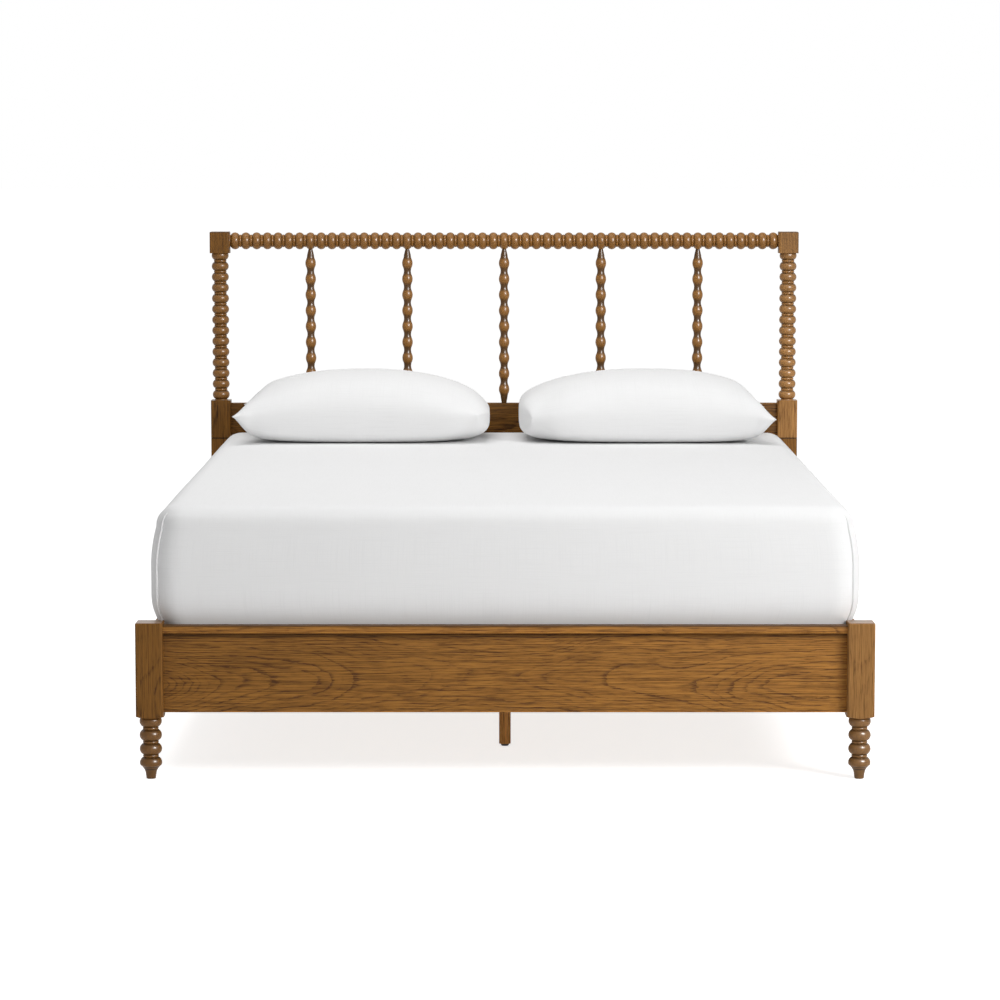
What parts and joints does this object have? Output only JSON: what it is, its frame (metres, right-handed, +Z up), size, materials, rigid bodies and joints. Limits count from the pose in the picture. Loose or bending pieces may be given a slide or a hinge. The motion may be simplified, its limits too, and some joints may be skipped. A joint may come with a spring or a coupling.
{
  "type": "spool-turned spindle bed",
  "caption": "Queen bed with spool-turned wooden posts and legs, a spindle headboard, a capped foot rail, a slatted base, a mattress in a fitted sheet and pillows.",
  "frame": {"origin": "on the floor, below the middle of the bed's outline", "axes": "+X to the right of someone at the foot of the bed, +Y towards the headboard, +Z up"},
  "size_m": [1.626, 2.134, 1.1525],
  "materials": {
    "stained_oak": "satin",
    "plain_wood": "matte",
    "zinc_steel": "satin",
    "leveler_plastic": "matte",
    "webbing": "matte",
    "mattress_ticking": "matte",
    "sheet_cotton": "matte",
    "pillow_cotton": "matte",
    "pillow_ticking": "matte"
  },
  "bodies": {
    "frame": {"beam_hangers": "zinc_steel", "center_beam": "plain_wood", "center_leg_front": "stained_oak", "center_leg_middle": "stained_oak", "center_leg_rear": "stained_oak", "dowel_pins": "plain_wood", "foot_post_left": "stained_oak", "foot_post_right": "stained_oak", "foot_rail": "stained_oak", "foot_rail_cap": "stained_oak", "head_cross_rail": "stained_oak", "head_leg_left": "stained_oak", "head_leg_right": "stained_oak", "head_post_left": "stained_oak", "head_post_right": "stained_oak", "headboard_joining_plates": "zinc_steel", "headboard_panel": "stained_oak", "headboard_top_rail": "stained_oak", "ledger_left": "plain_wood", "ledger_right": "plain_wood", "leveler_inserts": "zinc_steel", "post_slot_plates": "zinc_steel", "rail_hook_plates": "zinc_steel", "side_rail_left": "stained_oak", "side_rail_right": "stained_oak", "slat_01": "plain_wood", "slat_02": "plain_wood", "slat_03": "plain_wood", "slat_04": "plain_wood", "slat_05": "plain_wood", "slat_06": "plain_wood", "slat_07": "plain_wood", "slat_08": "plain_wood", "slat_09": "plain_wood", "slat_10": "plain_wood", "slat_11": "plain_wood", "slat_12": "plain_wood", "slat_strap_left": "webbing", "slat_strap_right": "webbing", "spindle_1": "stained_oak", "spindle_2": "stained_oak", "spindle_3": "stained_oak", "spindle_4": "stained_oak", "spindle_5": "stained_oak", "wood_screws": "zinc_steel"},
    "bedding_mattress": {"mattress": "mattress_ticking", "fitted_sheet": "sheet_cotton"},
    "bedding_pillow_left": {"pillow_left": "pillow_ticking", "pillowcase_left": "pillow_cotton"},
    "bedding_pillow_right": {"pillow_right": "pillow_ticking", "pillowcase_right": "pillow_cotton"},
    "leveler_foot_front": {"leveler_pad_front": "leveler_plastic"},
    "leveler_screw_front": {"leveler_stud_front": "zinc_steel"},
    "leveler_foot_middle": {"leveler_pad_middle": "leveler_plastic"},
    "leveler_screw_middle": {"leveler_stud_middle": "zinc_steel"},
    "leveler_foot_rear": {"leveler_pad_rear": "leveler_plastic"},
    "leveler_screw_rear": {"leveler_stud_rear": "zinc_steel"}
  },
  "joints": [
    {"name": "mattress_lift", "type": "slide", "parent": "frame", "child": "bedding_mattress", "axis": [0, 0, 1], "range_m": [0, 0.35]},
    {"name": "pillow_left_lift", "type": "slide", "parent": "bedding_mattress", "child": "bedding_pillow_left", "axis": [0, 0, 1], "range_m": [0, 0.3]},
    {"name": "pillow_right_lift", "type": "slide", "parent": "bedding_mattress", "child": "bedding_pillow_right", "axis": [0, 0, 1], "range_m": [0, 0.3]},
    {"name": "leveler_front_travel", "type": "slide", "parent": "frame", "child": "leveler_screw_front", "axis": [0, 0, -1], "range_m": [0, 0.012]},
    {"name": "leveler_front_turn", "type": "hinge", "parent": "leveler_screw_front", "child": "leveler_foot_front", "pos_m": [0, -0.612, 0], "axis": [0, 0, -1], "range_deg": [-1, 3470]},
    {"name": "leveler_middle_travel", "type": "slide", "parent": "frame", "child": "leveler_screw_middle", "axis": [0, 0, -1], "range_m": [0, 0.012]},
    {"name": "leveler_middle_turn", "type": "hinge", "parent": "leveler_screw_middle", "child": "leveler_foot_middle", "pos_m": [0, 0, 0], "axis": [0, 0, -1], "range_deg": [-1, 3470]},
    {"name": "leveler_rear_travel", "type": "slide", "parent": "frame", "child": "leveler_screw_rear", "axis": [0, 0, -1], "range_m": [0, 0.012]},
    {"name": "leveler_rear_turn", "type": "hinge", "parent": "leveler_screw_rear", "child": "leveler_foot_rear", "pos_m": [0, 0.612, 0], "axis": [0, 0, -1], "range_deg": [-1, 3470]}
  ],
  "couplings": [
    {"joint": "leveler_front_turn", "follows": "leveler_front_travel", "rad_per_m": 5026.5},
    {"joint": "leveler_middle_turn", "follows": "leveler_middle_travel", "rad_per_m": 5026.5},
    {"joint": "leveler_rear_turn", "follows": "leveler_rear_travel", "rad_per_m": 5026.5}
  ]
}
